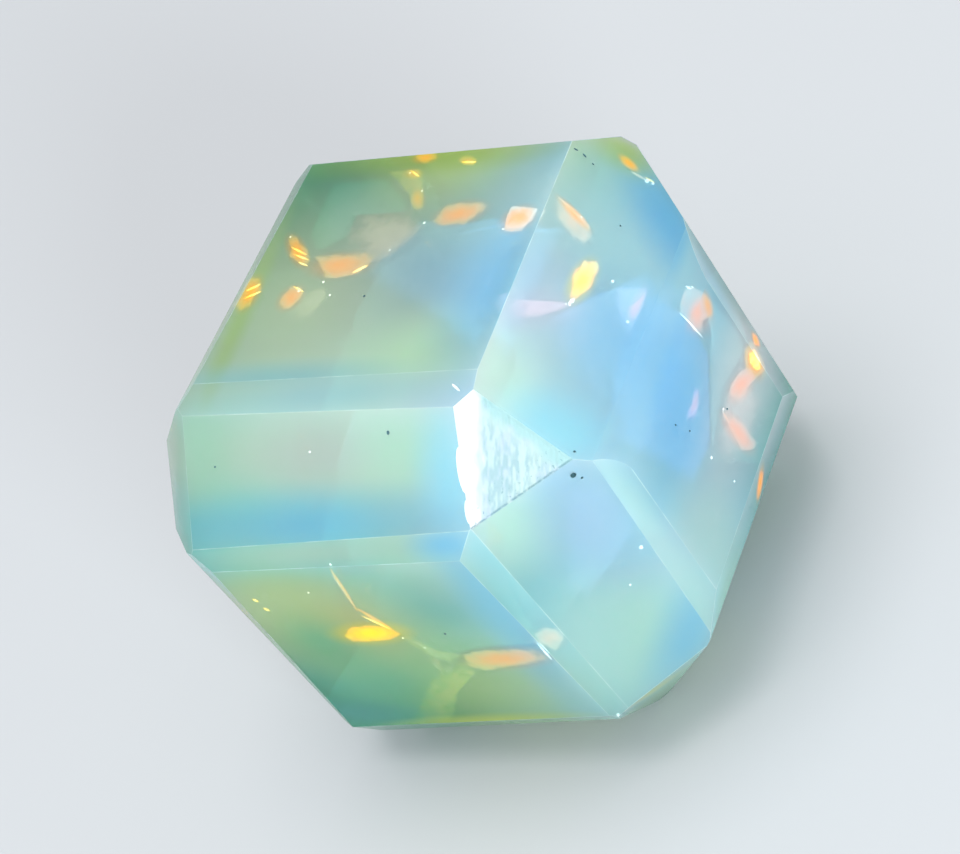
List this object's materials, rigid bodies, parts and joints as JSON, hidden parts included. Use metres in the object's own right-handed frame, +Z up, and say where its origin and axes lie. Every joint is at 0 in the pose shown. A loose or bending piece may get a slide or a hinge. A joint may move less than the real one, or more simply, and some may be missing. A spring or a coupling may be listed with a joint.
{
  "type": "opal cube",
  "caption": "Polished see-through opal cut as a small cube with wide bevels along its edges and one rough frosted corner, resting on a flat face.",
  "frame": {"origin": "middle of the footprint, on the surface that the stone rests on", "axes": "+Z up out of the top face, -Y out of the front face, +X out of the right face; the frosted corner points to +X -Y +Z"},
  "size_m": [0.0126, 0.0122, 0.012],
  "materials": {
    "opal": "polished, milky and see-through, blue to green with small orange flashes inside; one corner frosted"
  },
  "bodies": {
    "root": {"opal_cube": "opal"}
  },
  "joints": []
}
